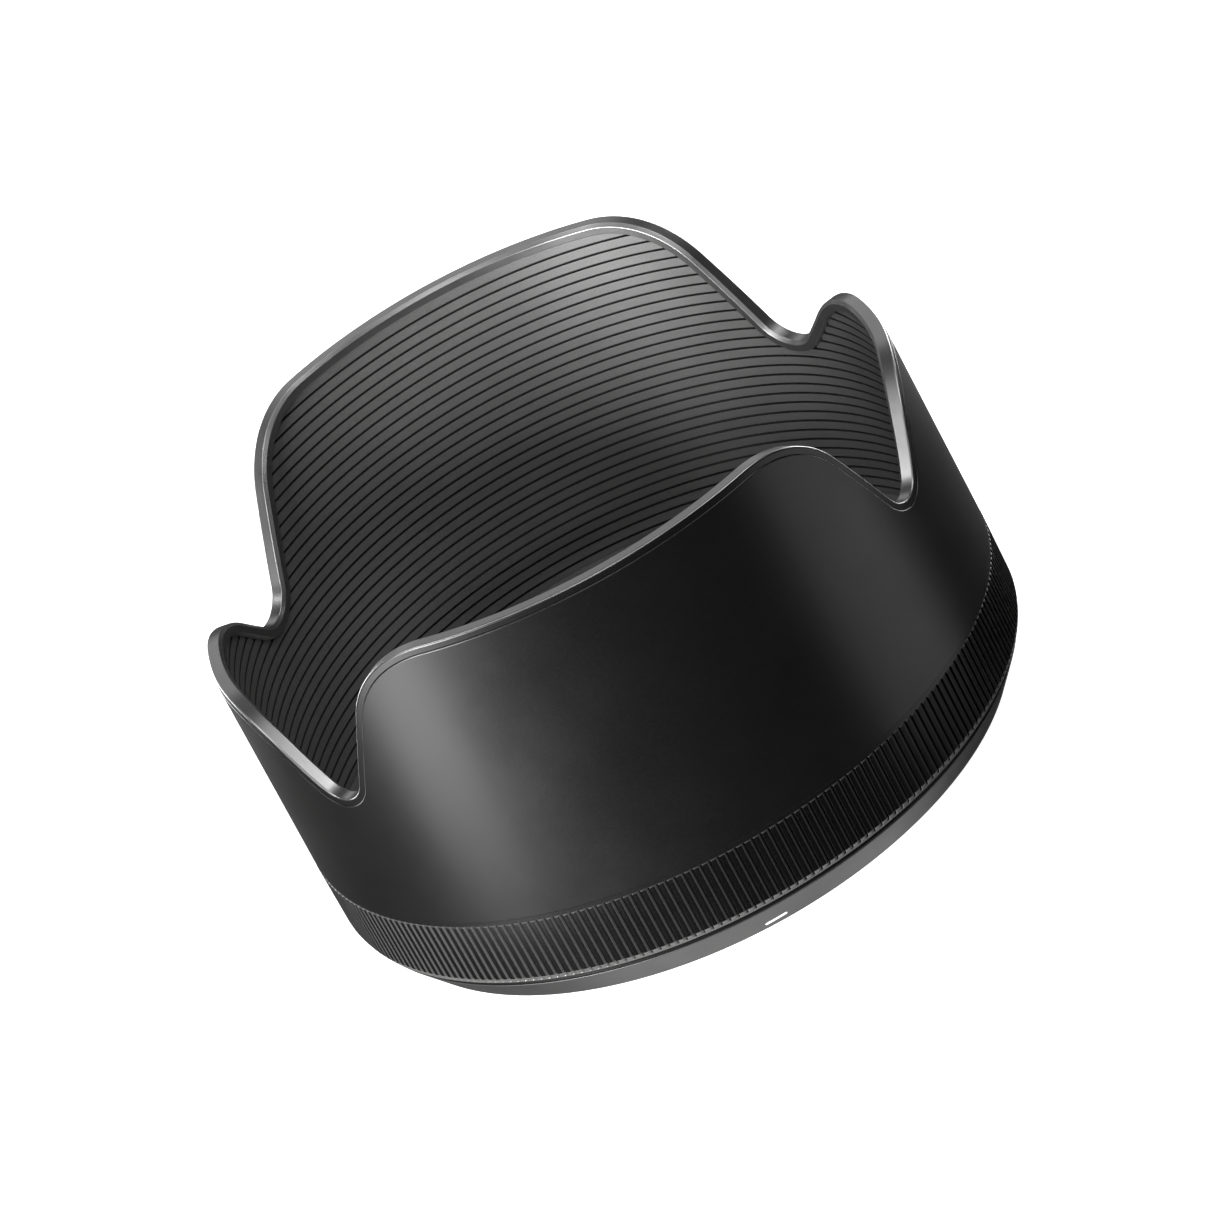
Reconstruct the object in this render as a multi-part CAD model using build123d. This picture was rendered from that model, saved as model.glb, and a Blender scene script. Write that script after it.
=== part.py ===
from build123d import *
import math
import os

os.makedirs("parts", exist_ok=True)

# Petal lens hood with a bayonet mount. Millimetres, +Z from the lens towards the subject.
# The origin is on the optical axis in the plane of the rear face. The two tall petals stand
# on the Y axis, the two short ones on the X axis, and the index mark faces -Y.

# ---------------------------------------------------------------- driving dimensions
BORE_R = 41.5                 # seat on the lens barrel
BASE_R = 43.31                # rear edge of the base ring
BASE_TOP_R = 46.3             # widest edge of the base ring
BASE_TOP = 4.2                # height of that edge, and of the face the bayonet ring lies on
BAYONET_TOP = 7.6             # front face of the bayonet ring
LEDGE = 8.7                   # front face of the barrel's inward flange
SHOULDER = 14.85              # where the outer shell starts, above the grip ring
SHELL_R0 = 47.27              # outer radius of the shell's cone, carried down to the rear face
DRAFT = 0.0138                # both walls close in by this much per millimetre of height
WALL = 1.45                   # shell and barrel together
SHELL_T = 0.75                # outer shell alone
BOND = 0.02                   # thickness of a glue line
EDGE_BREAK = 0.15             # small bevel on the shell's and the base ring's lower edges

# Petal edge, laid out flat on a cylinder and wrapped round the hood
LAYOUT_R = 48.0
TALL_Z = 55.26                # top of a tall petal
NOTCH_Z = 33.73               # bottom of the notch between two petals
SHORT_Z = 43.93               # top of a short petal
NOTCH_AT = 47.14              # along the layout, from the middle of the tall petal
CROWN_R = 1800.0              # a tall petal's top is very slightly arched
TALL_CORNER_R = 15.7
TALL_FLANK = 61.5             # slope of the tall petal's sides, degrees
NOTCH_R = 5.1
SHORT_FLANK = 39.9            # slope of the short petal's sides, degrees
SHORT_CORNER_R = 21.7

# Rim trim, measured square to the petal edge
RIM_INSET = 0.12              # the trim stands in from the shell's surface
RIM_OUTER_H = 1.0             # trim showing above the shell
RIM_INNER_H = 1.75            # trim showing above the barrel
RIM_LIP = 0.68                # its inner face stands in from the barrel's surface
RIM_LIP_BOTTOM = 1.5          # and ends at this depth, where the underside runs back to the wall
RIM_BEVEL_W = 0.38            # bevel between its top and inner faces
RIM_BEVEL_H = 0.5
RIM_OUTER_BREAK = 0.2         # bevel along its outer edge

# Light-trap grooves inside the barrel
GROOVES = 29
GROOVE_PITCH = 1.5102
GROOVE_TOP = 52.06
GROOVE_W = 0.34
GROOVE_DEPTH = 0.25

# Grip ring
SEAT_R = 46.3                 # barrel surface under the grip
NECK_R = 45.95                # and under the shadow gap below it
TAPE_T = 0.1
TAPE_MARGIN = 0.4             # the tape stops short of the grip's two ends
GRIP_BOTTOM = 5.05
GRIP_TOP = 14.3
LIP_TOP = 5.45                # plain lip round the lower end
LIP_R = 46.85
RIB_FULL = 5.87               # the ribs' lower ends are bevelled up to this height
RIB_COUNT = 256
RIB_R_TOP = 47.1
RIB_R_BOTTOM = 47.02
RIB_ROOT_R = 46.7
RIB_LAND = 0.72               # share of the pitch taken by the top of a rib
RIB_FOOT = 0.84               # share of the pitch taken by its foot
RIB_TOP_BEVEL = 0.2

# Barrel
FLANGE_R = 46.98              # flange between the grip and the shell
LEDGE_BORE_R = 42.0           # bore of the inward flange

# Base ring
LEAD_IN = 0.4                 # bevel at the mouth of the bore
BASE_TOP_BREAK = 0.1          # bevel round the widest edge

# Bayonet
LUGS = 3
LUG_R = 40.3
LUG_BOTTOM = 4.9
LUG_TOP = 6.3
LUG_ARC = 44.0
LUG_FIRST = -90.0             # the first lug lies behind the index mark
LUG_ROOT = 0.1                # a lug's blank runs this far into the ring
RELIEF_R = 42.0               # bore of the bayonet ring between its lugs
RING_R = 45.5                 # outside of the bayonet ring
SKIRT_IN_R = 45.55            # inside of the barrel's skirt round it

# Detents, midway between the lugs. A plunger gives way outwards by half a millimetre.
DETENT_Z = 5.9
PLUNGER_R = 0.85
PLUNGER_HEAD_R = 1.15
PLUNGER_FIT = 0.05
PLUNGER_TIP = 40.9            # distance of the resting tip from the axis
PLUNGER_BACK = 43.7
POCKET_FLOOR = 43.3           # flat floor of the spring pocket
POCKET_W = 15.4
POCKET_H = 2.4
SPRING_T = 0.2
SPRING_H = 1.9
SPRING_L = 14.0
SPRING_END = 44.75            # the spring's ends lie further out than its middle

# Fasteners
SCREWS = 6
SCREW_CIRCLE_R = 43.7
SCREW_R = 0.78
SCREW_HOLE_R = 0.82
SCREW_HEAD_R = 1.5
SCREW_TIP = 2.7
HEX_R = 0.6
HEX_DEPTH = 0.6
PIN_R = 0.6
PIN_BOTTOM = 2.9
PIN_TOP = 8.2
PIN_BEARINGS = (30.0, 150.0)
STOP_R = 0.6
STOP_TIP = 40.4
STOP_BACK = 44.4
STOP_Z = 5.6
STOP_BEARING = -64.0

# Index mark
MARK_L = 3.05
MARK_W = 0.55                 # measured down the slope of the base ring
MARK_Z = 1.14
MARK_DEPTH = 0.15
MARK_BEARING = -89.6

CUT_MARGIN = 1.0              # cutting solids run past the material by this much


# ---------------------------------------------------------------- shared geometry
def shell_r(z):
    """Outer radius of the shell at height z."""
    return SHELL_R0 - DRAFT * z


def barrel_r(z):
    """Inner radius of the barrel at height z."""
    return shell_r(z) - WALL


def turned(*corners):
    """Solid turned about the optical axis from (radius, height) corners."""
    outline = Polyline(*[(r, 0, z) for r, z in corners], close=True)
    return revolve(make_face(outline), Axis.Z)


def line_points(start, length, steps):
    """Points along a straight run, without its two ends."""
    x, z, slope = start
    reach = [length * i / steps for i in range(1, steps)]
    return [(x + d * math.cos(slope), z + d * math.sin(slope), slope) for d in reach]


def arc_points(level, radius, first, last, steps):
    """Points along an arc from one slope to another.

    level is the point where the arc is level. A negative radius makes a crest.
    """
    x, z = level
    slopes = [first + (last - first) * i / steps for i in range(steps + 1)]
    return [(x + radius * math.sin(a), z + radius * (1 - math.cos(a)), a) for a in slopes]


def petal_quarter():
    """Points (along, height, slope) of the petal edge from tall petal to short petal.

    The edge is a shallow crown, the tall petal's corner, its straight flank, the notch,
    the short petal's straight flank and its rounded top.
    """
    down = math.radians(TALL_FLANK)
    up = math.radians(SHORT_FLANK)
    arcs_drop = (TALL_CORNER_R + NOTCH_R) * (1 - math.cos(down))
    arcs_run = (TALL_CORNER_R + NOTCH_R) * math.sin(down)
    short_rise = (NOTCH_R + SHORT_CORNER_R) * (1 - math.cos(up))
    short_line = (SHORT_Z - NOTCH_Z - short_rise) / math.sin(up)
    # The crown meets the corner arc a little below the petal's top, found by repeated guesses.
    crown_drop = 0.0
    for _ in range(20):
        tall_line = (TALL_Z - crown_drop - NOTCH_Z - arcs_drop) / math.sin(down)
        crown_run = NOTCH_AT - arcs_run - tall_line * math.cos(down)
        crown_drop = CROWN_R - math.sqrt(CROWN_R**2 - crown_run**2)
    crown_slope = -math.asin(crown_run / CROWN_R)
    points = arc_points((0.0, TALL_Z), -CROWN_R, 0.0, crown_slope, steps=6)[:-1]
    points += arc_points((crown_run, TALL_Z - crown_drop), -TALL_CORNER_R, 0.0, -down, steps=12)
    points += line_points(points[-1], tall_line, steps=6)
    points += arc_points((NOTCH_AT, NOTCH_Z), NOTCH_R, -down, up, steps=12)
    short_x = points[-1][0]
    points += line_points(points[-1], short_line, steps=4)
    top_x = short_x + short_line * math.cos(up) + SHORT_CORNER_R * math.sin(up)
    points += arc_points((top_x, SHORT_Z), -SHORT_CORNER_R, up, 0.0, steps=10)
    middle = LAYOUT_R * math.pi / 2
    points += line_points(points[-1], middle - top_x, steps=3)
    points.append((middle, SHORT_Z, 0.0))
    return points


def petal_stations(below):
    """Angle and height right round the hood, a given distance below the petal edge."""
    quarter = []
    for along, z, slope in petal_quarter():
        x = along + below * math.sin(slope)
        quarter.append((x / LAYOUT_R, z - below * math.cos(slope)))
    half = quarter + [(math.pi - a, z) for a, z in reversed(quarter[:-1])]
    whole = half + [(math.pi + a, z) for a, z in half[1:-1]]
    return whole


def loop(below, radius, height=None):
    """Closed curve that follows the petal edge, or lies level when a height is given."""
    corners = []
    for angle, z in petal_stations(below):
        level = z if height is None else height
        r = radius(level)
        bearing = math.pi / 2 - angle
        corners.append((r * math.cos(bearing), r * math.sin(bearing), level))
    steps = [i / len(corners) for i in range(len(corners) + 1)]
    return Edge.make_spline(corners, periodic=True, parameters=steps)


def ring_between(curves):
    """Solid ring whose section has one corner on each closed curve, in order."""
    pairs = zip(curves, curves[1:] + curves[:1])
    return Solid(Shell([Face.make_surface_from_curves(a, b) for a, b in pairs]))


def above_petals(below):
    """Everything in the wall's path that lies above the petal edge, for cutting it away."""
    ceiling = TALL_Z + 4 * CUT_MARGIN
    corners = [
        (BORE_R, None),
        (SHELL_R0 + CUT_MARGIN, None),
        (SHELL_R0 + CUT_MARGIN, ceiling),
        (BORE_R, ceiling),
    ]
    return ring_between([loop(below, lambda z, r=r: r, height) for r, height in corners])


def round_rod(radius, start, end):
    """Cylinder between two points."""
    axis = Vector(*end) - Vector(*start)
    place = Plane(origin=start, z_dir=axis)
    return extrude(place * Circle(radius), axis.length)


def radial_rod(radius, inner, outer, z, bearing):
    """Cylinder pointing at the axis, between two distances from it."""
    a = math.radians(bearing)
    ends = [(d * math.cos(a), d * math.sin(a), z) for d in (inner, outer)]
    return round_rod(radius, *ends)


def around(count, first=0.0):
    """Equally spaced turns about the optical axis."""
    return [Rot(0, 0, first + 360 * i / count) for i in range(count)]


def one(shapes):
    """Group separate solids in one node."""
    return Compound(children=list(shapes))


def save(shape, name):
    shape.label = name
    export_step(shape, f"parts/{name}.step")


# ---------------------------------------------------------------- outer shell
def make_outer_shell():
    top = TALL_Z + CUT_MARGIN
    blank = turned(
        (shell_r(SHOULDER) - SHELL_T, SHOULDER),
        (shell_r(SHOULDER) - EDGE_BREAK, SHOULDER),
        (shell_r(SHOULDER), SHOULDER + EDGE_BREAK),
        (shell_r(top), top),
        (shell_r(top) - SHELL_T, top),
    )
    return blank - above_petals(RIM_OUTER_H)


# ---------------------------------------------------------------- petal rim
def make_petal_rim():
    """Trim along the petal edge.

    Each corner of its section is (distance in from the shell's surface, depth below the edge).
    """
    step = SHELL_T + BOND
    lip = WALL + RIM_LIP
    section = [
        (RIM_INSET, RIM_OUTER_H - BOND),
        (RIM_INSET, RIM_OUTER_BREAK),
        (RIM_INSET + RIM_OUTER_BREAK, 0.0),
        (lip - RIM_BEVEL_W, 0.0),
        (lip, RIM_BEVEL_H),
        (lip, RIM_LIP_BOTTOM),
        (WALL, RIM_INNER_H - BOND),
        (step, RIM_INNER_H - BOND),
        (step, RIM_OUTER_H - BOND),
    ]
    return ring_between([
        loop(below, lambda z, back=back: shell_r(z) - back)
        for back, below in section
    ])


# ---------------------------------------------------------------- inner barrel
def make_inner_barrel():
    top = TALL_Z + CUT_MARGIN
    outer = SHELL_T + 2 * BOND
    wall = turned(
        (barrel_r(LEDGE), LEDGE),
        (LEDGE_BORE_R, LEDGE),
        (LEDGE_BORE_R, BAYONET_TOP),
        (SKIRT_IN_R, BAYONET_TOP),
        (SKIRT_IN_R, BASE_TOP),
        (NECK_R, BASE_TOP),
        (NECK_R, GRIP_BOTTOM),
        (SEAT_R, GRIP_BOTTOM),
        (SEAT_R, GRIP_TOP),
        (FLANGE_R, GRIP_TOP),
        (FLANGE_R, SHOULDER),
        (shell_r(SHOULDER) - outer, SHOULDER),
        (shell_r(top) - outer, top),
        (barrel_r(top), top),
    )
    for i in range(GROOVES):
        z = GROOVE_TOP - i * GROOVE_PITCH
        wall -= turned(
            (barrel_r(z) - CUT_MARGIN, z - GROOVE_W / 2),
            (barrel_r(z) + GROOVE_DEPTH, z - GROOVE_W / 2),
            (barrel_r(z) + GROOVE_DEPTH, z + GROOVE_W / 2),
            (barrel_r(z) - CUT_MARGIN, z + GROOVE_W / 2),
        )
    wall -= above_petals(RIM_INNER_H)
    wall -= screw_holes()
    wall -= locating_pins()
    return wall


# ---------------------------------------------------------------- grip ring
def rib_outline():
    """Outline of the ribbed band, seen along the axis."""
    pitch = 2 * math.pi / RIB_COUNT
    points = []
    for i in range(RIB_COUNT):
        middle = pitch * (i + 0.5)
        for share, r in ((-RIB_FOOT, RIB_ROOT_R), (-RIB_LAND, RIB_R_TOP),
                         (RIB_LAND, RIB_R_TOP), (RIB_FOOT, RIB_ROOT_R)):
            a = middle + share * pitch / 2
            points.append((r * math.cos(a), r * math.sin(a)))
    return points


def make_grip_ring():
    inner = SEAT_R + TAPE_T + BOND
    outline = make_face(Polyline(*rib_outline(), close=True))
    band = extrude(Pos(0, 0, LIP_TOP) * outline, GRIP_TOP - BOND - LIP_TOP)
    envelope = turned(
        (inner, LIP_TOP),
        (LIP_R, LIP_TOP),
        (RIB_R_BOTTOM, RIB_FULL),
        (RIB_R_TOP, GRIP_TOP - RIB_TOP_BEVEL),
        (RIB_R_TOP - RIB_TOP_BEVEL, GRIP_TOP - BOND),
        (inner, GRIP_TOP - BOND),
    )
    lip = turned(
        (inner, GRIP_BOTTOM),
        (LIP_R, GRIP_BOTTOM),
        (LIP_R, LIP_TOP),
        (inner, LIP_TOP),
    )
    return (band & envelope) + lip


def make_grip_tape():
    return turned(
        (SEAT_R + BOND / 2, GRIP_BOTTOM + TAPE_MARGIN),
        (SEAT_R + TAPE_T, GRIP_BOTTOM + TAPE_MARGIN),
        (SEAT_R + TAPE_T, GRIP_TOP - TAPE_MARGIN),
        (SEAT_R + BOND / 2, GRIP_TOP - TAPE_MARGIN),
    )


# ---------------------------------------------------------------- fasteners
def screw_blank(shank_r, tip):
    """Countersunk screw standing at the origin's bearing, head at the ledge."""
    cone = SCREW_HEAD_R - shank_r
    profile = Polyline(
        (0, 0, tip),
        (shank_r, 0, tip),
        (shank_r, 0, LEDGE - cone),
        (SCREW_HEAD_R, 0, LEDGE),
        (0, 0, LEDGE),
        close=True,
    )
    return Pos(SCREW_CIRCLE_R, 0, 0) * revolve(make_face(profile), Axis.Z)


def screw_holes():
    return one(turn * screw_blank(SCREW_HOLE_R, SCREW_TIP) for turn in around(SCREWS))


def make_bayonet_screws():
    socket = Pos(SCREW_CIRCLE_R, 0, LEDGE - HEX_DEPTH) * extrude(RegularPolygon(HEX_R, 6), HEX_DEPTH)
    screw = screw_blank(SCREW_R, SCREW_TIP + BOND) - socket
    return one(turn * screw for turn in around(SCREWS))


def locating_pins():
    pin = Pos(SCREW_CIRCLE_R, 0, PIN_BOTTOM) * extrude(Circle(PIN_R), PIN_TOP - PIN_BOTTOM)
    return one(Rot(0, 0, bearing) * pin for bearing in PIN_BEARINGS)


def make_stop_pin():
    return radial_rod(STOP_R, STOP_TIP, STOP_BACK, STOP_Z, STOP_BEARING)


# ---------------------------------------------------------------- base ring
def cone_r(z):
    """Radius of the base ring's bevelled side at height z."""
    return BASE_R + (BASE_TOP_R - BASE_R) * z / BASE_TOP


def index_slot():
    """The inlay that fills the slot engraved in the base ring."""
    slope = math.atan2(BASE_TOP_R - BASE_R, BASE_TOP)
    half = MARK_W / 2 * math.cos(slope)
    skin = turned(
        (cone_r(MARK_Z - half) - MARK_DEPTH, MARK_Z - half),
        (cone_r(MARK_Z - half), MARK_Z - half),
        (cone_r(MARK_Z + half), MARK_Z + half),
        (cone_r(MARK_Z + half) - MARK_DEPTH, MARK_Z + half),
    )
    window = Box(BASE_TOP_R, MARK_L, BASE_TOP, align=(Align.MIN, Align.CENTER, Align.MIN))
    return Rot(0, 0, MARK_BEARING) * (skin & window)


def make_base_ring():
    ring = turned(
        (BORE_R + LEAD_IN, 0),
        (BASE_R - EDGE_BREAK, 0),
        (cone_r(EDGE_BREAK), EDGE_BREAK),
        (cone_r(BASE_TOP - BASE_TOP_BREAK), BASE_TOP - BASE_TOP_BREAK),
        (BASE_TOP_R - 2 * BASE_TOP_BREAK, BASE_TOP),
        (BORE_R, BASE_TOP),
        (BORE_R, LEAD_IN),
    )
    return ring - index_slot() - screw_holes() - locating_pins()


# ---------------------------------------------------------------- bayonet ring
def detent_bearings():
    """The detents lie midway between the lugs."""
    return [LUG_FIRST + 360 * (i + 0.5) / LUGS for i in range(LUGS)]


def make_lug():
    sector = turned(
        (LUG_R, LUG_BOTTOM),
        (RELIEF_R + LUG_ROOT, LUG_BOTTOM),
        (RELIEF_R + LUG_ROOT, LUG_TOP),
        (LUG_R, LUG_TOP),
    )
    half = math.radians(LUG_ARC / 2)
    reach = BASE_TOP_R / math.cos(half)
    corners = [(reach * math.cos(a), reach * math.sin(a)) for a in (-half, half)]
    triangle = make_face(Polyline((0, 0), *corners, close=True))
    height = LUG_TOP - LUG_BOTTOM + 2 * CUT_MARGIN
    wedge = Pos(0, 0, LUG_BOTTOM - CUT_MARGIN) * extrude(triangle, height)
    return sector & wedge


def spring_pocket():
    depth = BASE_TOP_R - POCKET_FLOOR
    block = Box(depth, POCKET_W, POCKET_H, align=(Align.MIN, Align.CENTER, Align.CENTER))
    return Pos(POCKET_FLOOR, 0, DETENT_Z) * block


def make_bayonet_ring():
    ring = turned(
        (RELIEF_R, BASE_TOP),
        (RING_R, BASE_TOP),
        (RING_R, BAYONET_TOP),
        (RELIEF_R, BAYONET_TOP),
    )
    for turn in around(LUGS, LUG_FIRST):
        ring += turn * make_lug()
    for bearing in detent_bearings():
        ring -= Rot(0, 0, bearing) * spring_pocket()
        ring -= radial_rod(PLUNGER_R + PLUNGER_FIT, LUG_R, RING_R, DETENT_Z, bearing)
    return ring - screw_holes() - locating_pins() - make_stop_pin()


# ---------------------------------------------------------------- detents
def make_plunger():
    """Plunger with a rounded tip and a flat head, lying along +X."""
    tip_end = PLUNGER_TIP + PLUNGER_R
    shank = radial_rod(PLUNGER_R, tip_end, POCKET_FLOOR, DETENT_Z, 0)
    tip = Pos(tip_end, 0, DETENT_Z) * Sphere(PLUNGER_R)
    head = radial_rod(PLUNGER_HEAD_R, POCKET_FLOOR, PLUNGER_BACK, DETENT_Z, 0)
    return shank + tip + head


def make_spring():
    """Bowed leaf that presses the plunger inwards, lying across +X."""
    back = PLUNGER_BACK + BOND
    far_back = back + SPRING_T
    far_end = SPRING_END + SPRING_T
    half = SPRING_L / 2
    near = ThreePointArc((SPRING_END, -half), (back, 0), (SPRING_END, half))
    far = ThreePointArc((far_end, half), (far_back, 0), (far_end, -half))
    tips = [Line(near @ 1, far @ 0), Line(far @ 1, near @ 0)]
    leaf = make_face([curve.edge() for curve in (near, tips[0], far, tips[1])])
    return Pos(0, 0, DETENT_Z - SPRING_H / 2) * extrude(leaf, SPRING_H)


# ---------------------------------------------------------------- write the parts
save(make_outer_shell(), "outer_shell")
save(make_petal_rim(), "petal_rim")
save(make_inner_barrel(), "inner_barrel")
save(make_grip_ring(), "grip_ring")
save(make_grip_tape(), "grip_tape")
save(make_base_ring(), "base_ring")
save(index_slot(), "index_mark")
save(make_bayonet_ring(), "bayonet_ring")
save(make_bayonet_screws(), "bayonet_screws")
save(locating_pins(), "locating_pins")
save(make_stop_pin(), "stop_pin")
for number, bearing in enumerate(detent_bearings(), start=1):
    save(Rot(0, 0, bearing) * make_plunger(), f"detent_plunger_{number}")
    save(Rot(0, 0, bearing) * make_spring(), f"detent_spring_{number}")
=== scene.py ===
"""Petal lens hood: the looks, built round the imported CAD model. Metres, +Z up.

The tall petals stand on the Y axis, the short ones on the X axis, and the index mark faces -Y.
"""

import math

import bmesh
import bpy
import numpy as np
from mathutils import Matrix, Vector


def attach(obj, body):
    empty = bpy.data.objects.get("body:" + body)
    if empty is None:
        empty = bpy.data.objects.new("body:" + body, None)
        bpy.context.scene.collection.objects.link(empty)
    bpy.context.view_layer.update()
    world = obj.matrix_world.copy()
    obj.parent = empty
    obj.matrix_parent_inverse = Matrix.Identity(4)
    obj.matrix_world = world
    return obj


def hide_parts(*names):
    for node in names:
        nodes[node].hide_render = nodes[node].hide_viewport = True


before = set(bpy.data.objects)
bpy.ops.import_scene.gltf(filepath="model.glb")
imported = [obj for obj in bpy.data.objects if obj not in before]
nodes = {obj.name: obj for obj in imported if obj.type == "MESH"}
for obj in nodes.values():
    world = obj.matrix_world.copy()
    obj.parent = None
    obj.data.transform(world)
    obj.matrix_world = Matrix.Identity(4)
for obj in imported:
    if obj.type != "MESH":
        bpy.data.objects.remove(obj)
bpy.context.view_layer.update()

MM = 0.001
BODY = "hood"

# ---------------------------------------------------------------- driving sizes, in millimetres
SHELL_R0 = 47.27              # the outer cone, carried down to the rear face
DRAFT = 0.0138                # the walls close in by this much per millimetre of height
WALL = 1.45                   # shell and barrel together
SHELL_T = 0.75                # outer shell alone
SHELL_GAP = 0.04              # between the shell and the barrel behind it
SHELL_EDGE_ROUND = 0.12
SHELL_FOOT_ROUND = 0.04
SHOULDER = 14.85              # where the shell starts, above the grip

LAYOUT_R = 48.0               # the petal edge is laid out on this cylinder
TALL_Z = 55.26                # top of a tall petal
NOTCH_Z = 33.73               # bottom of the notch between two petals
SHORT_Z = 43.93               # top of a short petal
NOTCH_AT = 47.14              # along the layout, from the middle of the tall petal
CROWN_R = 1800.0              # a tall petal's top is very slightly arched
TALL_CORNER_R = 15.7
TALL_FLANK = math.radians(61.5)
NOTCH_R = 5.1
SHORT_FLANK = math.radians(39.9)
SHORT_CORNER_R = 21.7

RIM_OUTER_H = 1.0             # rim showing above the shell
RIM_INNER_H = 1.75            # rim showing above the barrel
RIM_INSET = 0.12              # the rim stands in from the shell's surface
RIM_SEAT = 0.77               # and is this far in where it sits behind the shell
RIM_EDGE_W = 0.35             # its rounded outer edge, where the faces are steep enough, has the shell's darker finish: painted shade that keeps highlights off its sides
RIM_EDGE_UP = 0.42            # has the shell's finish

# corners of the rim's section: distance in from the shell's surface, depth below the petal
# edge, and rounding
RIM_SECTION = [
    (RIM_SEAT, 0.98, 0),
    (RIM_INSET, 0.98, 0.05),
    (RIM_INSET, 0.0, 0.28),
    (1.75, 0.0, 0.12),
    (2.13, 0.5, 0.12),
    (2.13, 1.5, 0.08),
    (WALL, 1.73, 0),
    (RIM_SEAT, 1.73, 0),
]

GROOVES = 29
GROOVE_PITCH = 1.5102
GROOVE_TOP = 52.06            # middle of the highest groove
GROOVE_W = 0.34
GROOVE_DEPTH = 0.42           # deeper than in the CAD model, so that it shows
GROOVE_TAPER = 0.02           # a groove's floor is narrower by this much on each side

LEDGE = 8.7                   # front face of the barrel's inward flange
LEDGE_BORE_R = 42.0
BAYONET_TOP = 7.6             # the flange's rear face lies on the bayonet ring
FLANGE_OUT_R = 45.6
FLANGE_R = 46.98              # outward flange between the grip and the shell
SEAT_R = 46.3                 # barrel surface under the grip
SEAT_TOP = 14.3
NECK_R = 45.95                # barrel surface below the grip
SKIRT_IN_R = 45.55            # inside of the barrel's skirt
SKIRT_TOP_R = 45.7
SKIRT_TOP = LEDGE - 0.4

SCREWS = 6
SCREW_CIRCLE_R = 43.7
SCREW_HEAD_R = 1.5
SCREW_HOLE_R = 0.82
SCREW_GAP = 0.02              # round a screw's head
SCREW_SIDES = 32
CUT_ABOVE = 0.1               # the cutting solids run past the flange by this much
CUT_BELOW = 0.2

GRIP_BOTTOM = 5.05
GRIP_TOP = 14.28
GRIP_MIDDLE = 10.0
GRIP_IN_R = 46.42
GRIP_TOP_ROUND = 0.2
LIP_TOP = 5.34                # plain lip round the grip's lower end
LIP_R = 46.85
LIP_ROUND = 0.24
RIB_FULL = 5.87               # the ribs' lower ends are bevelled up to this height
RIB_COUNT = 256
RIB_PITCH = 2 * math.pi / RIB_COUNT
RIB_R = 47.1
RIB_ROOT_R = 46.86

# one rib: place across its pitch from -1 to 1, share of the way down from its top to its root
RIB_PROFILE = [
    (-0.88, 1.0), (-0.86, 0.5), (-0.83, 0.1), (-0.79, 0.0), (-0.5, 0.0), (-0.15, 0.0), (0.05, 0.03),
    (0.25, 0.11), (0.42, 0.24), (0.57, 0.42), (0.69, 0.62), (0.79, 0.85), (0.86, 1.0),
]
RIB_HALF = 0.86               # a rib's foot reaches this far across its pitch
RIB_LIT_SHOULDER = (0.25, 0.8)    # the two limits across the pitch of the shoulder with the painted highlight

BORE_R = 41.5
BASE_R = 43.31                # rear edge of the base ring
BASE_TOP_R = 46.3             # its widest edge
BASE_TOP = 4.2                # height of that edge
LEAD_IN = 0.4                 # bevel at the mouth of the bore

MARK_L = 3.05
MARK_W = 0.55                 # measured down the slope of the base ring
MARK_Z = 1.14
MARK_BEARING = math.radians(-89.6)
MARK_TILT = 0.05              # the stroke climbs a little to the right

# section of the stroke: share of its half width, height over the base ring's surface
MARK_SECTION = [
    (-1.0, -0.1), (-1.0, 0.004), (-0.9, 0.012), (0.0, 0.014), (0.9, 0.012), (1.0, 0.004),
    (1.0, -0.1),
]
MARK_END_STEPS = 8
MARK_RUN_STEPS = 12


def shell_r(z):
    """Outer radius of the shell at height z."""
    return SHELL_R0 - DRAFT * z


# ---------------------------------------------------------------- petal edge
def arc(level, radius, first, last, steps):
    """Points (along, height, slope) of an arc from its level point; radius < 0 is a crest."""
    a = np.linspace(first, last, steps + 1)
    along = level[0] + radius * np.sin(a)
    height = level[1] + radius * (1 - np.cos(a))
    return np.stack([along, height, a], 1)


def straight(start, length, steps):
    """Points of a straight run, without its two ends."""
    d = length * np.arange(1, steps) / steps
    x, z, slope = start
    return np.stack([x + d * math.cos(slope), z + d * math.sin(slope), np.full_like(d, slope)], 1)


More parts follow.
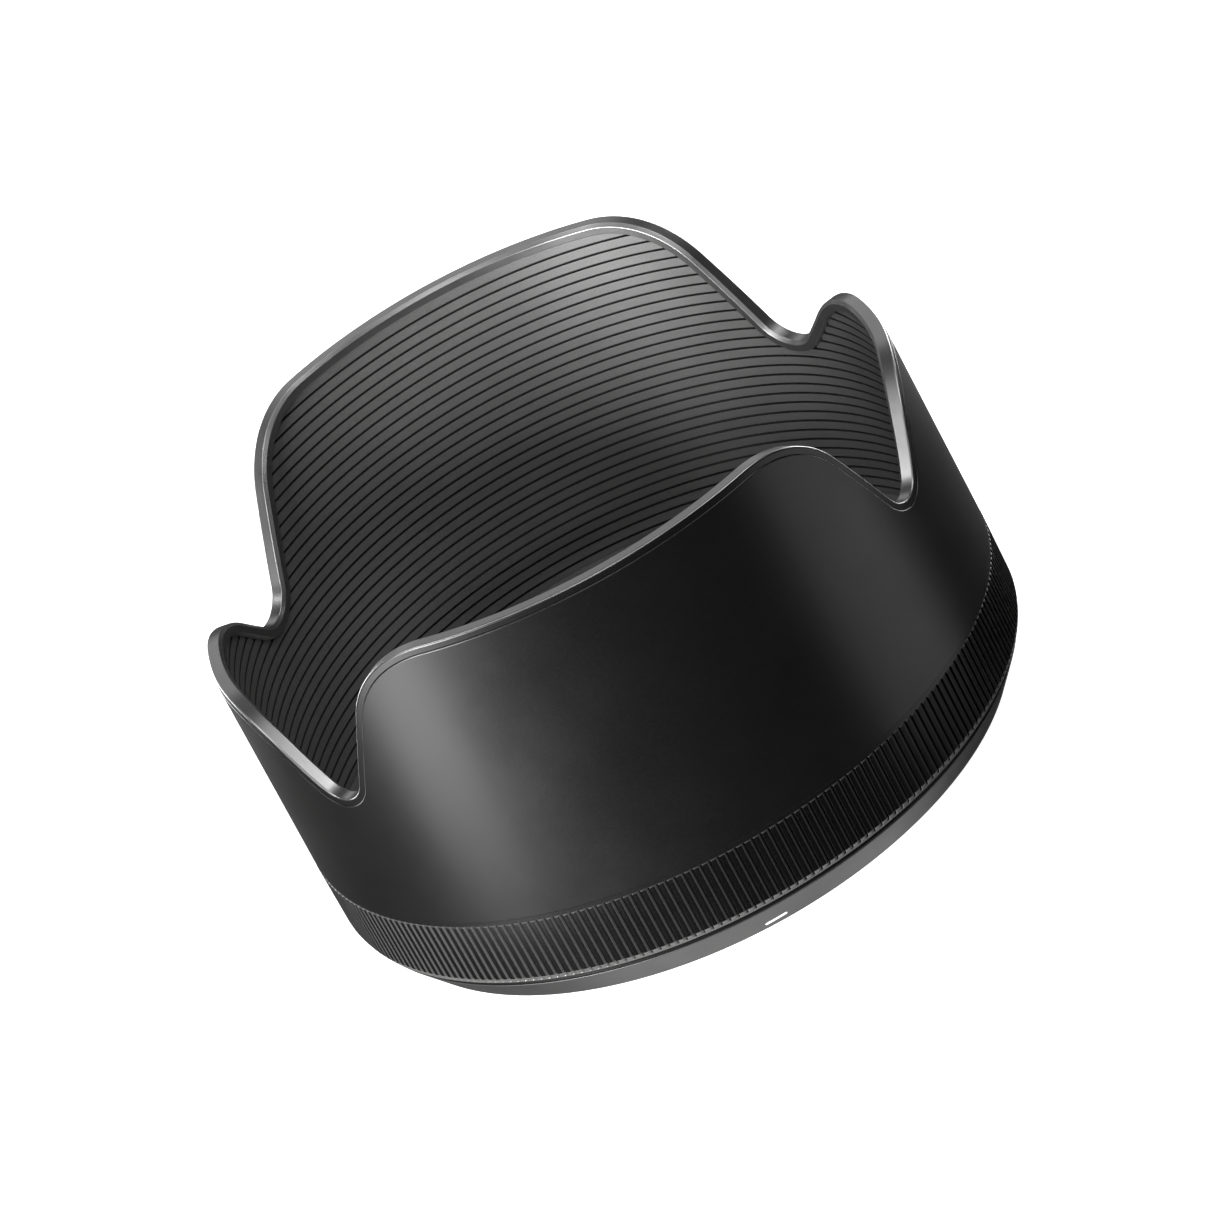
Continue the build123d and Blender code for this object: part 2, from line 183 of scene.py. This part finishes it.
def petal_quarter():
    """The petal edge from the middle of a tall petal to the middle of a short one."""
    down, up = TALL_FLANK, SHORT_FLANK
    arcs_drop = (TALL_CORNER_R + NOTCH_R) * (1 - math.cos(down))
    arcs_run = (TALL_CORNER_R + NOTCH_R) * math.sin(down)
    short_rise = (NOTCH_R + SHORT_CORNER_R) * (1 - math.cos(up))
    short_line = (SHORT_Z - NOTCH_Z - short_rise) / math.sin(up)
    crown_drop = 0.0
    for _ in range(20):       # the crown's width and its drop depend on each other
        tall_line = (TALL_Z - crown_drop - NOTCH_Z - arcs_drop) / math.sin(down)
        crown_run = NOTCH_AT - arcs_run - tall_line * math.cos(down)
        crown_drop = CROWN_R - math.sqrt(CROWN_R**2 - crown_run**2)
    crown_end = -math.asin(crown_run / CROWN_R)
    crown = arc((0, TALL_Z), -CROWN_R, 0, crown_end, steps=22)[:-1]
    corner = arc((crown_run, TALL_Z - crown_drop), -TALL_CORNER_R, 0, -down, steps=28)
    flank = straight(corner[-1], tall_line, steps=14)
    notch = arc((NOTCH_AT, NOTCH_Z), NOTCH_R, -down, up, steps=26)
    rise = straight(notch[-1], short_line, steps=8)
    top_x = notch[-1][0] + short_line * math.cos(up) + SHORT_CORNER_R * math.sin(up)
    short = arc((top_x, SHORT_Z), -SHORT_CORNER_R, up, 0, steps=26)
    top = straight(short[-1], LAYOUT_R * math.pi / 2 - top_x, steps=8)
    middle = np.array([[LAYOUT_R * math.pi / 2, SHORT_Z, 0]])
    return np.concatenate([crown, corner, flank, notch, rise, short, top, middle])


QUARTER = petal_quarter()


def petal_line(below):
    """Bearing from +X and height of the line that runs a given distance below the petal edge."""
    angle = (QUARTER[:, 0] + below * np.sin(QUARTER[:, 2])) / LAYOUT_R
    z = QUARTER[:, 1] - below * np.cos(QUARTER[:, 2])
    half_angle = np.concatenate([angle, math.pi - angle[-2::-1]])
    half_z = np.concatenate([z, z[-2::-1]])
    whole_angle = np.concatenate([half_angle, math.pi + half_angle[1:-1]])
    whole_z = np.concatenate([half_z, half_z[1:-1]])
    return math.pi / 2 - whole_angle, whole_z


# ---------------------------------------------------------------- outlines
def ring_points(bearing, radius, z):
    """One row of points round the axis."""
    radius = np.broadcast_to(radius, bearing.shape)
    z = np.broadcast_to(z, bearing.shape)
    return np.stack([radius * np.cos(bearing), radius * np.sin(bearing), z], 1)


def fillet(corners, steps=3):
    """Closed outline of (radius, height) points from corners of (radius, height, rounding)."""
    most = 0.49               # of a side, that one rounding may take up
    points = [Vector(corner[:2]) for corner in corners]
    out = []
    for i, here in enumerate(points):
        rounding = corners[i][2]
        before = points[i - 1] - here
        after = points[(i + 1) % len(points)] - here
        if rounding <= 0:
            out.append(tuple(here))
            continue
        half = before.angle(after) / 2
        reach = min(rounding / math.tan(half), most * before.length, most * after.length)
        start = here + before.normalized() * reach
        end = here + after.normalized() * reach
        for k in range(steps + 1):
            t = k / steps
            point = start * (1 - t)**2 + here * (2 * t * (1 - t)) + end * t**2
            out.append(tuple(point))
    return out


def supported(outline):
    """Add a point close to each end of a long side, so that its shading stays flat."""
    near, long_side = 0.03, 0.15
    out = []
    for here, after in zip(outline, outline[1:] + outline[:1]):
        here, after = Vector(here), Vector(after)
        out.append(tuple(here))
        length = (after - here).length
        if length > long_side:
            out.append(tuple(here.lerp(after, near / length)))
            out.append(tuple(after.lerp(here, near / length)))
    return out


def new_object(name, data):
    """Object of a mesh, a light or a camera, in the scene."""
    obj = bpy.data.objects.new(name, data)
    bpy.context.scene.collection.objects.link(obj)
    return obj


def object_from(name, bm):
    """Object of a closed bmesh, which is used up."""
    bmesh.ops.recalc_face_normals(bm, faces=bm.faces)
    mesh = bpy.data.meshes.new(name)
    bm.to_mesh(mesh)
    bm.free()
    return new_object(name, mesh)


def stand_in(obj, node):
    """The piece rides on the hood and is shown instead of the CAD node."""
    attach(obj, BODY)
    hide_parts(node)


def piece(name, rows, node, mat, weld=False, sharp=None):
    """Closed ring of rows of points round the axis, the last row joined to the first."""
    rows = np.stack(rows) * MM
    count, columns = rows.shape[:2]
    a = np.arange(columns)
    b = (a + 1) % columns
    faces = []
    for i in range(count):
        low, high = i * columns, ((i + 1) % count) * columns
        faces.append(np.stack([low + a, low + b, high + b, high + a], 1))
    mesh = bpy.data.meshes.new(name)
    mesh.from_pydata(rows.reshape(-1, 3).tolist(), [], np.concatenate(faces).tolist())
    obj = new_object(name, mesh)
    bm = bmesh.new()
    bm.from_mesh(mesh)
    if weld:
        bmesh.ops.remove_doubles(bm, verts=bm.verts, dist=0.002 * MM)
    bmesh.ops.recalc_face_normals(bm, faces=bm.faces)
    bm.to_mesh(mesh)
    bm.free()
    mesh.shade_smooth()
    if sharp is not None:
        mesh.set_sharp_from_angle(angle=math.radians(sharp))
    mesh.materials.append(mat)
    stand_in(obj, node)
    return obj


def turned(name, outline, node, mat, columns=720, sharp=None):
    """Ring of one outline all the way round."""
    bearing = np.linspace(0, 2 * math.pi, columns, endpoint=False)
    rows = [ring_points(bearing, r, z) for r, z in supported(outline)]
    return piece(name, rows, node, mat, sharp=sharp)


def finish_faces(obj, extra, pick):
    """Add finishes; pick(centre, normal) gives a face's place among them, 0 for the piece's own."""
    for mat in extra:
        obj.data.materials.append(mat)
    for face in obj.data.polygons:
        face.material_index = pick(face.center / MM, face.normal)


# ---------------------------------------------------------------- material building
def material(name):
    mat = bpy.data.materials.new(name)
    mat.use_nodes = True
    tree = mat.node_tree
    return mat, tree, tree.nodes["Principled BSDF"]


def add(tree, kind, settings=None, **inputs):
    """New node with its settings and its input values or links; i0, i1 are inputs by number."""
    new = tree.nodes.new(kind)
    for key, value in (settings or {}).items():
        setattr(new, key, value)
    for key, value in inputs.items():
        numbered = key[0] == "i" and key[1:].isdigit()
        socket = new.inputs[int(key[1:]) if numbered else key]
        if isinstance(value, bpy.types.NodeSocket):
            tree.links.new(value, socket)
        else:
            socket.default_value = value
    return new


def noise(tree, scale, detail):
    """Noise from 0 to 1; scale is in features per metre."""
    place = tree.nodes.new("ShaderNodeTexCoord").outputs["Object"]
    new = add(tree, "ShaderNodeTexNoise", Scale=scale, Detail=detail, Roughness=0.6, Vector=place)
    return new.outputs["Fac"]


def spread(tree, value, low, high):
    """Most of a noise's range, 0.3 to 0.7, carried to low..high."""
    new = add(tree, "ShaderNodeMapRange", Value=value)
    limits = {"From Min": 0.3, "From Max": 0.7, "To Min": low, "To Max": high}
    for name, limit in limits.items():
        new.inputs[name].default_value = limit
    return new.outputs["Result"]


def tint(tree, factor, dark, light):
    """Colour between two greys."""
    new = add(tree, "ShaderNodeMix", {"data_type": "RGBA"}, i0=factor)
    for socket in new.inputs:
        if socket.type == "RGBA":
            value = dark if socket.name == "A" else light
            socket.default_value = (*value, 1)
    return [s for s in new.outputs if s.type == "RGBA"][0]


def bump(tree, height, depth):
    """Bump of a height field; depth is in metres."""
    new = add(tree, "ShaderNodeBump", Height=height, Strength=1.0, Distance=depth)
    return new.outputs["Normal"]


def plastic(name, dark, light, rough, grain, grain_depth,
            smear=0.05, specular=0.5, metallic=0.0, ior=1.5):
    """Moulded surface: two close tones, a fine spark texture, and slightly uneven gloss.

    grain is in features per metre, grain_depth in metres; smear is how far the roughness varies.
    """
    mat, tree, shader = material(name)
    fine = noise(tree, grain, detail=3)
    broad = noise(tree, 90, detail=4)
    shader.inputs["Base Color"].default_value = (*dark, 1)
    tree.links.new(tint(tree, spread(tree, fine, 0, 1), dark, light), shader.inputs["Base Color"])
    uneven = add(tree, "ShaderNodeMath", {"operation": "ADD"},
                 i0=spread(tree, broad, rough - smear, rough + smear),
                 i1=spread(tree, fine, -smear / 2, smear / 2))
    tree.links.new(uneven.outputs[0], shader.inputs["Roughness"])
    tree.links.new(bump(tree, fine, grain_depth), shader.inputs["Normal"])
    shader.inputs["Specular IOR Level"].default_value = specular
    shader.inputs["Metallic"].default_value = metallic
    shader.inputs["IOR"].default_value = ior
    return mat


def grey(value):
    """Very slightly warm grey."""
    return (value, value, value * 0.985)


SHELL_MAT = plastic(
    "shell_satin", grey(0.002), grey(0.0035), 0.33, 4200, 5e-6, smear=0.02, specular=0.29)
RIM_MAT = plastic("rim_satin", grey(0.012), grey(0.02), 0.32, 6000, 4e-6, specular=1.0, ior=1.75)
BARREL_MAT = plastic("barrel_matt", grey(0.032), grey(0.052), 0.47, 4800, 1.4e-5, specular=1.0)
# Darker copy of the barrel's finish for the groove walls and floors: painted shade
GROOVE_SHADE_MAT = plastic("groove_painted_shade", grey(0.006), grey(0.010), 0.6, 6500, 4e-6, specular=0.3)
GRIP_MAT = plastic(
    "grip_rubber", grey(0.001), grey(0.003), 0.36, 4200, 4e-6, smear=0.04, specular=0.09)
# Lighter copy of the grip's rubber: painted highlight on one shoulder of each rib and on the grip's
# top edge
GRIP_HIGHLIGHT_MAT = plastic(
    "grip_painted_highlight", grey(0.016), grey(0.024), 0.5, 4200, 4e-6, smear=0.03, specular=0.1)
# Much lighter copy of the grip's rubber: painted highlight on the lip and the ribs' bevelled feet
GRIP_LIP_LIT_MAT = plastic(
    "grip_lip_painted_highlight", grey(0.04), grey(0.06), 0.36, 4200, 4e-6, smear=0.03, specular=1.0)
BASE_MAT = plastic("base_matt", grey(0.015), grey(0.025), 0.42, 4200, 9e-6)
BAYONET_MAT = plastic("bayonet_satin", grey(0.02), grey(0.03), 0.45, 5200, 3e-6)
MARK_MAT = plastic("mark_paint", (0.75, 0.75, 0.73), (0.85, 0.85, 0.83), 0.5, 9000, 2e-6)
SCREW_MAT = plastic("dark_steel", grey(0.06), grey(0.1), 0.3, 4000, 2e-6, metallic=1.0)
STEEL_MAT = plastic("bright_steel", grey(0.5), grey(0.6), 0.25, 4000, 1e-6, metallic=1.0)
TAPE_MAT = plastic("tape", grey(0.1), grey(0.15), 0.7, 2000, 4e-6)


# ---------------------------------------------------------------- outer shell
def make_shell():
    bearing, z = petal_line(RIM_OUTER_H)
    rows = [
        ring_points(bearing, shell_r(z) - SHELL_T, SHOULDER),
        ring_points(bearing, shell_r(z) - SHELL_T, z),
    ]
    for a in np.linspace(math.pi / 2, 0, 4):
        bearing, z = petal_line(RIM_OUTER_H + SHELL_EDGE_ROUND * (1 - math.sin(a)))
        rows.append(ring_points(bearing, shell_r(z) - SHELL_EDGE_ROUND * (1 - math.cos(a)), z))
    foot = SHOULDER + SHELL_FOOT_ROUND
    # a level close to each end keeps the shading of the tall faces between them even
    for t in (0.002, *np.linspace(0, 1, 14)[1:-1], 0.998, 1.0):
        level = z + (foot - z) * t
        rows.append(ring_points(bearing, shell_r(level), level))
    for a in np.linspace(0, math.pi / 2, 4)[1:]:
        level = SHOULDER + SHELL_FOOT_ROUND * (1 - math.sin(a))
        radius = shell_r(level) - SHELL_FOOT_ROUND * (1 - math.cos(a))
        rows.append(ring_points(bearing, radius, level))
    piece("outer_shell_skin", rows, "outer_shell", SHELL_MAT, sharp=35)


# ---------------------------------------------------------------- petal rim
def make_rim():
    rows = []
    for back, below in supported(fillet(RIM_SECTION, steps=5)):
        bearing, z = petal_line(below)
        rows.append(ring_points(bearing, shell_r(z) - back, z))
    rim = piece("petal_rim_trim", rows, "petal_rim", RIM_MAT, sharp=32)

    def pick(centre, normal):
        x, y, z = centre
        back = shell_r(z) - math.hypot(x, y)
        outer_wall = back < RIM_INSET + 0.01
        # the steep faces of the rounded outer edge take the shell's darker finish by their slope:
        # painted shade
        outer_edge = back < RIM_EDGE_W and normal.z < RIM_EDGE_UP
        return 1 if outer_wall or outer_edge else 0

    finish_faces(rim, [SHELL_MAT], pick)


# ---------------------------------------------------------------- inner barrel
def groove_profile():
    """Heights and depths of the grooved wall, from the ledge to the top of a tall petal."""
    half = GROOVE_W / 2
    steps = [
        (-half, 0.0), (-half + GROOVE_TAPER, GROOVE_DEPTH), (half - GROOVE_TAPER, GROOVE_DEPTH),
        (half, 0.0),
    ]
    lowest = LEDGE + 0.05
    profile = [(LEDGE, 0.0)]
    for i in reversed(range(GROOVES)):
        middle = GROOVE_TOP - i * GROOVE_PITCH
        profile += [(middle + dz, depth) for dz, depth in steps if middle + dz > lowest]
    profile.append((TALL_Z, 0.0))
    return np.array(profile)


def make_barrel_wall():
    bearing, top = petal_line(RIM_INNER_H)
    profile = groove_profile()
    rows = []
    for height, depth in profile:
        z = np.minimum(height, top)
        sunk = np.where(height > top, np.interp(top, profile[:, 0], profile[:, 1]), depth)
        rows.append(ring_points(bearing, shell_r(z) - WALL + sunk, z))
    outer = shell_r(top) - SHELL_T - SHELL_GAP
    rows.append(ring_points(bearing, outer, top))
    rows.append(ring_points(bearing, outer, SHOULDER))
    outside = [
        (FLANGE_R, SHOULDER), (FLANGE_R, SEAT_TOP), (SEAT_R, SEAT_TOP), (SEAT_R, GRIP_BOTTOM),
        (NECK_R, GRIP_BOTTOM), (NECK_R, BASE_TOP), (SKIRT_IN_R, BASE_TOP),
        (SKIRT_IN_R, SKIRT_TOP), (SKIRT_TOP_R, SKIRT_TOP),
    ]
    rows += [ring_points(bearing, r, z) for r, z in outside]
    wall = piece("barrel_wall", rows, "inner_barrel", BARREL_MAT, weld=True, sharp=35)

    def pick(centre, normal):
        x, y, z = centre
        depth = math.hypot(x, y) - (shell_r(z) - WALL)
        if depth > GROOVE_DEPTH + 0.05 or z < LEDGE - 0.2:
            return 1          # the barrel's outside and its skirt
        # the groove walls and floors take the darker finish: painted shade
        return 2 if depth > 0.1 else 0

    finish_faces(wall, [SHELL_MAT, GROOVE_SHADE_MAT], pick)


def screw_cutter():
    """Countersunk holes for the screws, a hair wider than their heads."""
    head_r = SCREW_HEAD_R + SCREW_GAP
    outline = [
        (head_r, LEDGE + CUT_ABOVE),
        (head_r, LEDGE),
        (SCREW_HOLE_R, LEDGE - SCREW_HEAD_R + SCREW_HOLE_R),
        (SCREW_HOLE_R, BAYONET_TOP - CUT_BELOW),
    ]
    turn = [2 * math.pi * k / SCREW_SIDES for k in range(SCREW_SIDES)]
    bm = bmesh.new()
    for i in range(SCREWS):
        a = 2 * math.pi * i / SCREWS
        centre = Vector((SCREW_CIRCLE_R * math.cos(a), SCREW_CIRCLE_R * math.sin(a), 0))
        rings = []
        for r, z in outline:
            ring = [centre + Vector((r * math.cos(t), r * math.sin(t), z)) for t in turn]
            rings.append([bm.verts.new(point * MM) for point in ring])
        for low, high in zip(rings, rings[1:]):
            for k in range(SCREW_SIDES):
                bm.faces.new((low[k], low[k - 1], high[k - 1], high[k]))
        bm.faces.new(rings[0])
        bm.faces.new(rings[-1])
    return object_from("screw_cutter", bm)


def cut(obj, cutter):
    """Take one mesh away from another."""
    change = obj.modifiers.new("cut", "BOOLEAN")
    change.operation = "DIFFERENCE"
    change.solver = "EXACT"
    change.object = cutter
    done = obj.evaluated_get(bpy.context.evaluated_depsgraph_get())
    mesh = bpy.data.meshes.new_from_object(done)
    obj.modifiers.clear()
    obj.data = mesh
    bpy.data.objects.remove(cutter)


def make_barrel_flange():
    outline = fillet([
        (FLANGE_OUT_R, LEDGE, 0),
        (LEDGE_BORE_R, LEDGE, 0.15),
        (LEDGE_BORE_R, BAYONET_TOP, 0.1),
        (FLANGE_OUT_R, BAYONET_TOP, 0),
    ])
    flange = turned("barrel_flange", outline, "inner_barrel", BARREL_MAT, columns=360, sharp=40)
    cut(flange, screw_cutter())


# ---------------------------------------------------------------- grip ring
def rib_columns():
    """Bearings round the grip and how far each is down the flank of its rib, 0 top to 1 root."""
    share, drop = np.array(RIB_PROFILE).T
    middles = RIB_PITCH * (np.arange(RIB_COUNT) + 0.5)
    bearing = (middles[:, None] + share[None, :] * RIB_PITCH / 2).ravel()
    return bearing, np.tile(drop, RIB_COUNT)


def make_grip():
    bearing, drop = rib_columns()

    def row(z, top_r, root_r):
        return ring_points(bearing, top_r + (root_r - top_r) * drop, z)

    rows = [row(GRIP_BOTTOM, GRIP_IN_R, GRIP_IN_R)]
    for a in np.linspace(0, math.pi / 2, 6):
        r = LIP_R - LIP_ROUND * (1 - math.sin(a))
        rows.append(row(GRIP_BOTTOM + LIP_ROUND * (1 - math.cos(a)), r, r))
    # height, radius on the ribs, radius between them
    levels = [
        (LIP_TOP - 0.05, LIP_R + 0.01, LIP_R - 0.01),
        (LIP_TOP, LIP_R + 0.01, LIP_R - 0.1),
        (LIP_TOP + 0.1, LIP_R + 0.05, LIP_R - 0.1),
        (RIB_FULL - 0.12, RIB_R - 0.09, RIB_ROOT_R),
        (RIB_FULL - 0.02, RIB_R - 0.055, RIB_ROOT_R),
        (RIB_FULL + 0.08, RIB_R - 0.05, RIB_ROOT_R),
        (GRIP_MIDDLE, RIB_R - 0.03, RIB_ROOT_R),
    ]
    rows += [row(*level) for level in levels]
    for a in np.linspace(0, math.pi / 2, 5):
        r = RIB_R - GRIP_TOP_ROUND * (1 - math.cos(a))
        rows.append(row(GRIP_TOP - GRIP_TOP_ROUND * (1 - math.sin(a)), r, RIB_ROOT_R))
    rows.append(row(GRIP_TOP, GRIP_IN_R, GRIP_IN_R))
    grip = piece("grip_ribs", rows, "grip_ring", GRIP_MAT, sharp=40)

    def pick(centre, normal):
        x, y, z = centre
        share = 2 * (math.atan2(y, x) / RIB_PITCH % 1 - 0.5)
        if z < LIP_TOP or (z < RIB_FULL - 0.02 and abs(share) < RIB_HALF):
            return 2          # painted highlight: the lip and the bevelled feet of the ribs, which face down, take a lighter copy of the rubber
        # painted highlight: one shoulder of each rib and the grip's top edge take the lighter copy
        # of the rubber
        shoulder = RIB_LIT_SHOULDER[0] < share < RIB_LIT_SHOULDER[1]
        return 1 if z > GRIP_TOP - 0.15 or shoulder else 0

    finish_faces(grip, [GRIP_HIGHLIGHT_MAT, GRIP_LIP_LIT_MAT], pick)


# ---------------------------------------------------------------- base ring and index mark
def cone_r(z):
    """Outer radius of the base ring at height z."""
    return BASE_R + (BASE_TOP_R - BASE_R) * z / BASE_TOP


def make_base():
    outline = fillet([
        (BORE_R + LEAD_IN, 0, 0.06),
        (BASE_R, 0, 0.14),
        (BASE_TOP_R, BASE_TOP, 0.12),
        (BORE_R, BASE_TOP, 0.05),
        (BORE_R, LEAD_IN, 0.1),
    ], steps=5)
    turned("base_ring_body", outline, "base_ring", BASE_MAT, sharp=35)


def make_mark():
    """Painted stroke with round ends, lying on the cone of the base ring."""
    slope = math.atan2(BASE_TOP_R - BASE_R, BASE_TOP)
    half_w = MARK_W / 2
    run = MARK_L / 2 - half_w
    end_turns = [math.pi / 2 * k / MARK_END_STEPS for k in range(MARK_END_STEPS + 1)]
    stations = [-run - half_w * math.cos(turn) for turn in end_turns]
    stations += [-run + 2 * run * k / MARK_RUN_STEPS for k in range(1, MARK_RUN_STEPS)]
    stations += [run + half_w * math.sin(turn) for turn in end_turns]
    bm = bmesh.new()
    rings = []
    for along in stations:
        past = max(0.0, abs(along) - run)
        reach = math.sqrt(max(half_w**2 - past**2, 1e-6))  # the ends keep a hair of width
        ring = []
        for share, lift in MARK_SECTION:
            z = MARK_Z + MARK_TILT * along + share * reach * math.cos(slope)
            r = cone_r(z) + lift
            a = MARK_BEARING + along / r
            ring.append(bm.verts.new((r * math.cos(a) * MM, r * math.sin(a) * MM, z * MM)))
        rings.append(ring)
    count = len(MARK_SECTION)
    for low, high in zip(rings, rings[1:]):
        for i in range(count):
            j = (i + 1) % count
            bm.faces.new((low[i], low[j], high[j], high[i]))
    bm.faces.new(rings[0])
    bm.faces.new(rings[-1])
    mark = object_from("index_mark_paint", bm)
    mark.data.materials.append(MARK_MAT)
    stand_in(mark, "index_mark")


# ---------------------------------------------------------------- carried-over CAD nodes
def finish_cad_nodes():
    finish = {
        "bayonet_ring": BAYONET_MAT, "bayonet_screws": SCREW_MAT, "grip_tape": TAPE_MAT,
        "base_ring": BASE_MAT, "inner_barrel": BARREL_MAT, "outer_shell": SHELL_MAT,
        "petal_rim": RIM_MAT, "grip_ring": GRIP_MAT, "index_mark": MARK_MAT,
    }
    for name, obj in nodes.items():
        obj.data.materials.clear()
        obj.data.materials.append(finish.get(name, STEEL_MAT))


# ---------------------------------------------------------------- stage
CAMERA_DISTANCE = 0.842665
CAMERA_ELEVATION = math.radians(27.9498)
CAMERA_BEARING = math.radians(-0.2027)
CAMERA_ROLL = math.radians(-28.2)
CAMERA_LENS = 200.79
LOOK_AT = (0.000215, 0.0, 0.026076)
LIGHTS_AIM = (0, 0, 0.028)


def make_camera():
    e = CAMERA_ELEVATION
    forward = Vector((0, math.cos(e), -math.sin(e)))
    up = Vector((0, math.sin(e), math.cos(e)))
    right = forward.cross(up)
    turn = Matrix((right, up, -forward)).transposed().to_4x4()
    place = Matrix.Translation(Vector(LOOK_AT) - forward * CAMERA_DISTANCE)
    data = bpy.data.cameras.new("camera")
    data.sensor_width = 36
    data.lens = CAMERA_LENS
    data.clip_start = 0.01
    camera = new_object("camera", data)
    camera.matrix_world = (Matrix.Rotation(CAMERA_BEARING, 4, "Z") @ place @ turn
                           @ Matrix.Rotation(CAMERA_ROLL, 4, "Z"))
    bpy.context.scene.camera = camera


# name, bearing from +X, elevation, distance, width, height, power
LIGHTS = [
    ("left_far", 219, 4, 0.60, 0.20, 0.24, 14.5),
    ("left_near", 210, -10, 0.16, 0.06, 0.06, 0.10),
    ("left_high", 186, 57, 0.45, 0.20, 0.20, 1.1),
    ("right_near", -20, -17, 0.20, 0.12, 0.10, 0.056),
    ("right_high", -6, 57, 0.45, 0.20, 0.20, 1.0),
    ("front", -90, 38, 0.60, 0.20, 0.30, 1.7),
    ("top", -90, 85, 0.50, 0.30, 0.30, 0.6),
    ("back", 90, 26, 0.40, 0.40, 0.20, 0.26),
    ("rear_left", 130, -2, 0.50, 0.30, 0.25, 2.8),
    ("rear_right", 50, -2, 0.50, 0.30, 0.25, 2.8),
    ("under", -90, -85, 0.25, 0.22, 0.22, 0.21),
    ("under_right", 0, -60, 0.25, 0.12, 0.12, 0.02),
]


def make_light(name, bearing, elevation, distance, width, height, power):
    """Rectangle that faces the hood and isn't seen by the camera."""
    b, e = math.radians(bearing), math.radians(elevation)
    away = Vector((math.cos(e) * math.cos(b), math.cos(e) * math.sin(b), math.sin(e)))
    data = bpy.data.lights.new(name, "AREA")
    data.shape = "RECTANGLE"
    data.size = width
    data.size_y = height
    data.energy = power
    light = new_object(name, data)
    light.location = Vector(LIGHTS_AIM) + away * distance
    light.rotation_euler = away.to_track_quat("Z", "Y").to_euler()
    light.visible_camera = False


def make_floor():
    """White floor, too bright to show a shadow; the hood and the lights below ignore it."""
    half = 6.0
    corners = [(-half, -half, 0), (half, -half, 0), (half, half, 0), (-half, half, 0)]
    mesh = bpy.data.meshes.new("floor")
    mesh.from_pydata(corners, [], [(0, 1, 2, 3)])
    floor = new_object("floor", mesh)
    mat, _, shader = material("floor_white")
    shader.inputs["Base Color"].default_value = (0.8, 0.8, 0.8, 1)
    shader.inputs["Roughness"].default_value = 0.9
    shader.inputs["Emission Color"].default_value = (1, 1, 1, 1)
    shader.inputs["Emission Strength"].default_value = 0.9
    mesh.materials.append(mat)
    floor.visible_glossy = False
    floor.visible_diffuse = False
    floor.visible_shadow = False


def make_world():
    """White background that only the camera sees."""
    world = bpy.data.worlds.new("studio")
    bpy.context.scene.world = world
    world.use_nodes = True
    background = world.node_tree.nodes["Background"]
    background.inputs["Color"].default_value = (1, 1, 1, 1)
    background.inputs["Strength"].default_value = 1.0
    world.cycles_visibility.diffuse = False
    world.cycles_visibility.glossy = False
    world.cycles_visibility.transmission = False
    world.cycles_visibility.scatter = False
    bpy.context.scene.view_settings.view_transform = "Standard"


make_shell()
make_rim()
make_barrel_wall()
make_barrel_flange()
make_grip()
make_base()
make_mark()
finish_cad_nodes()
make_camera()
for light in LIGHTS:
    make_light(*light)
make_floor()
make_world()
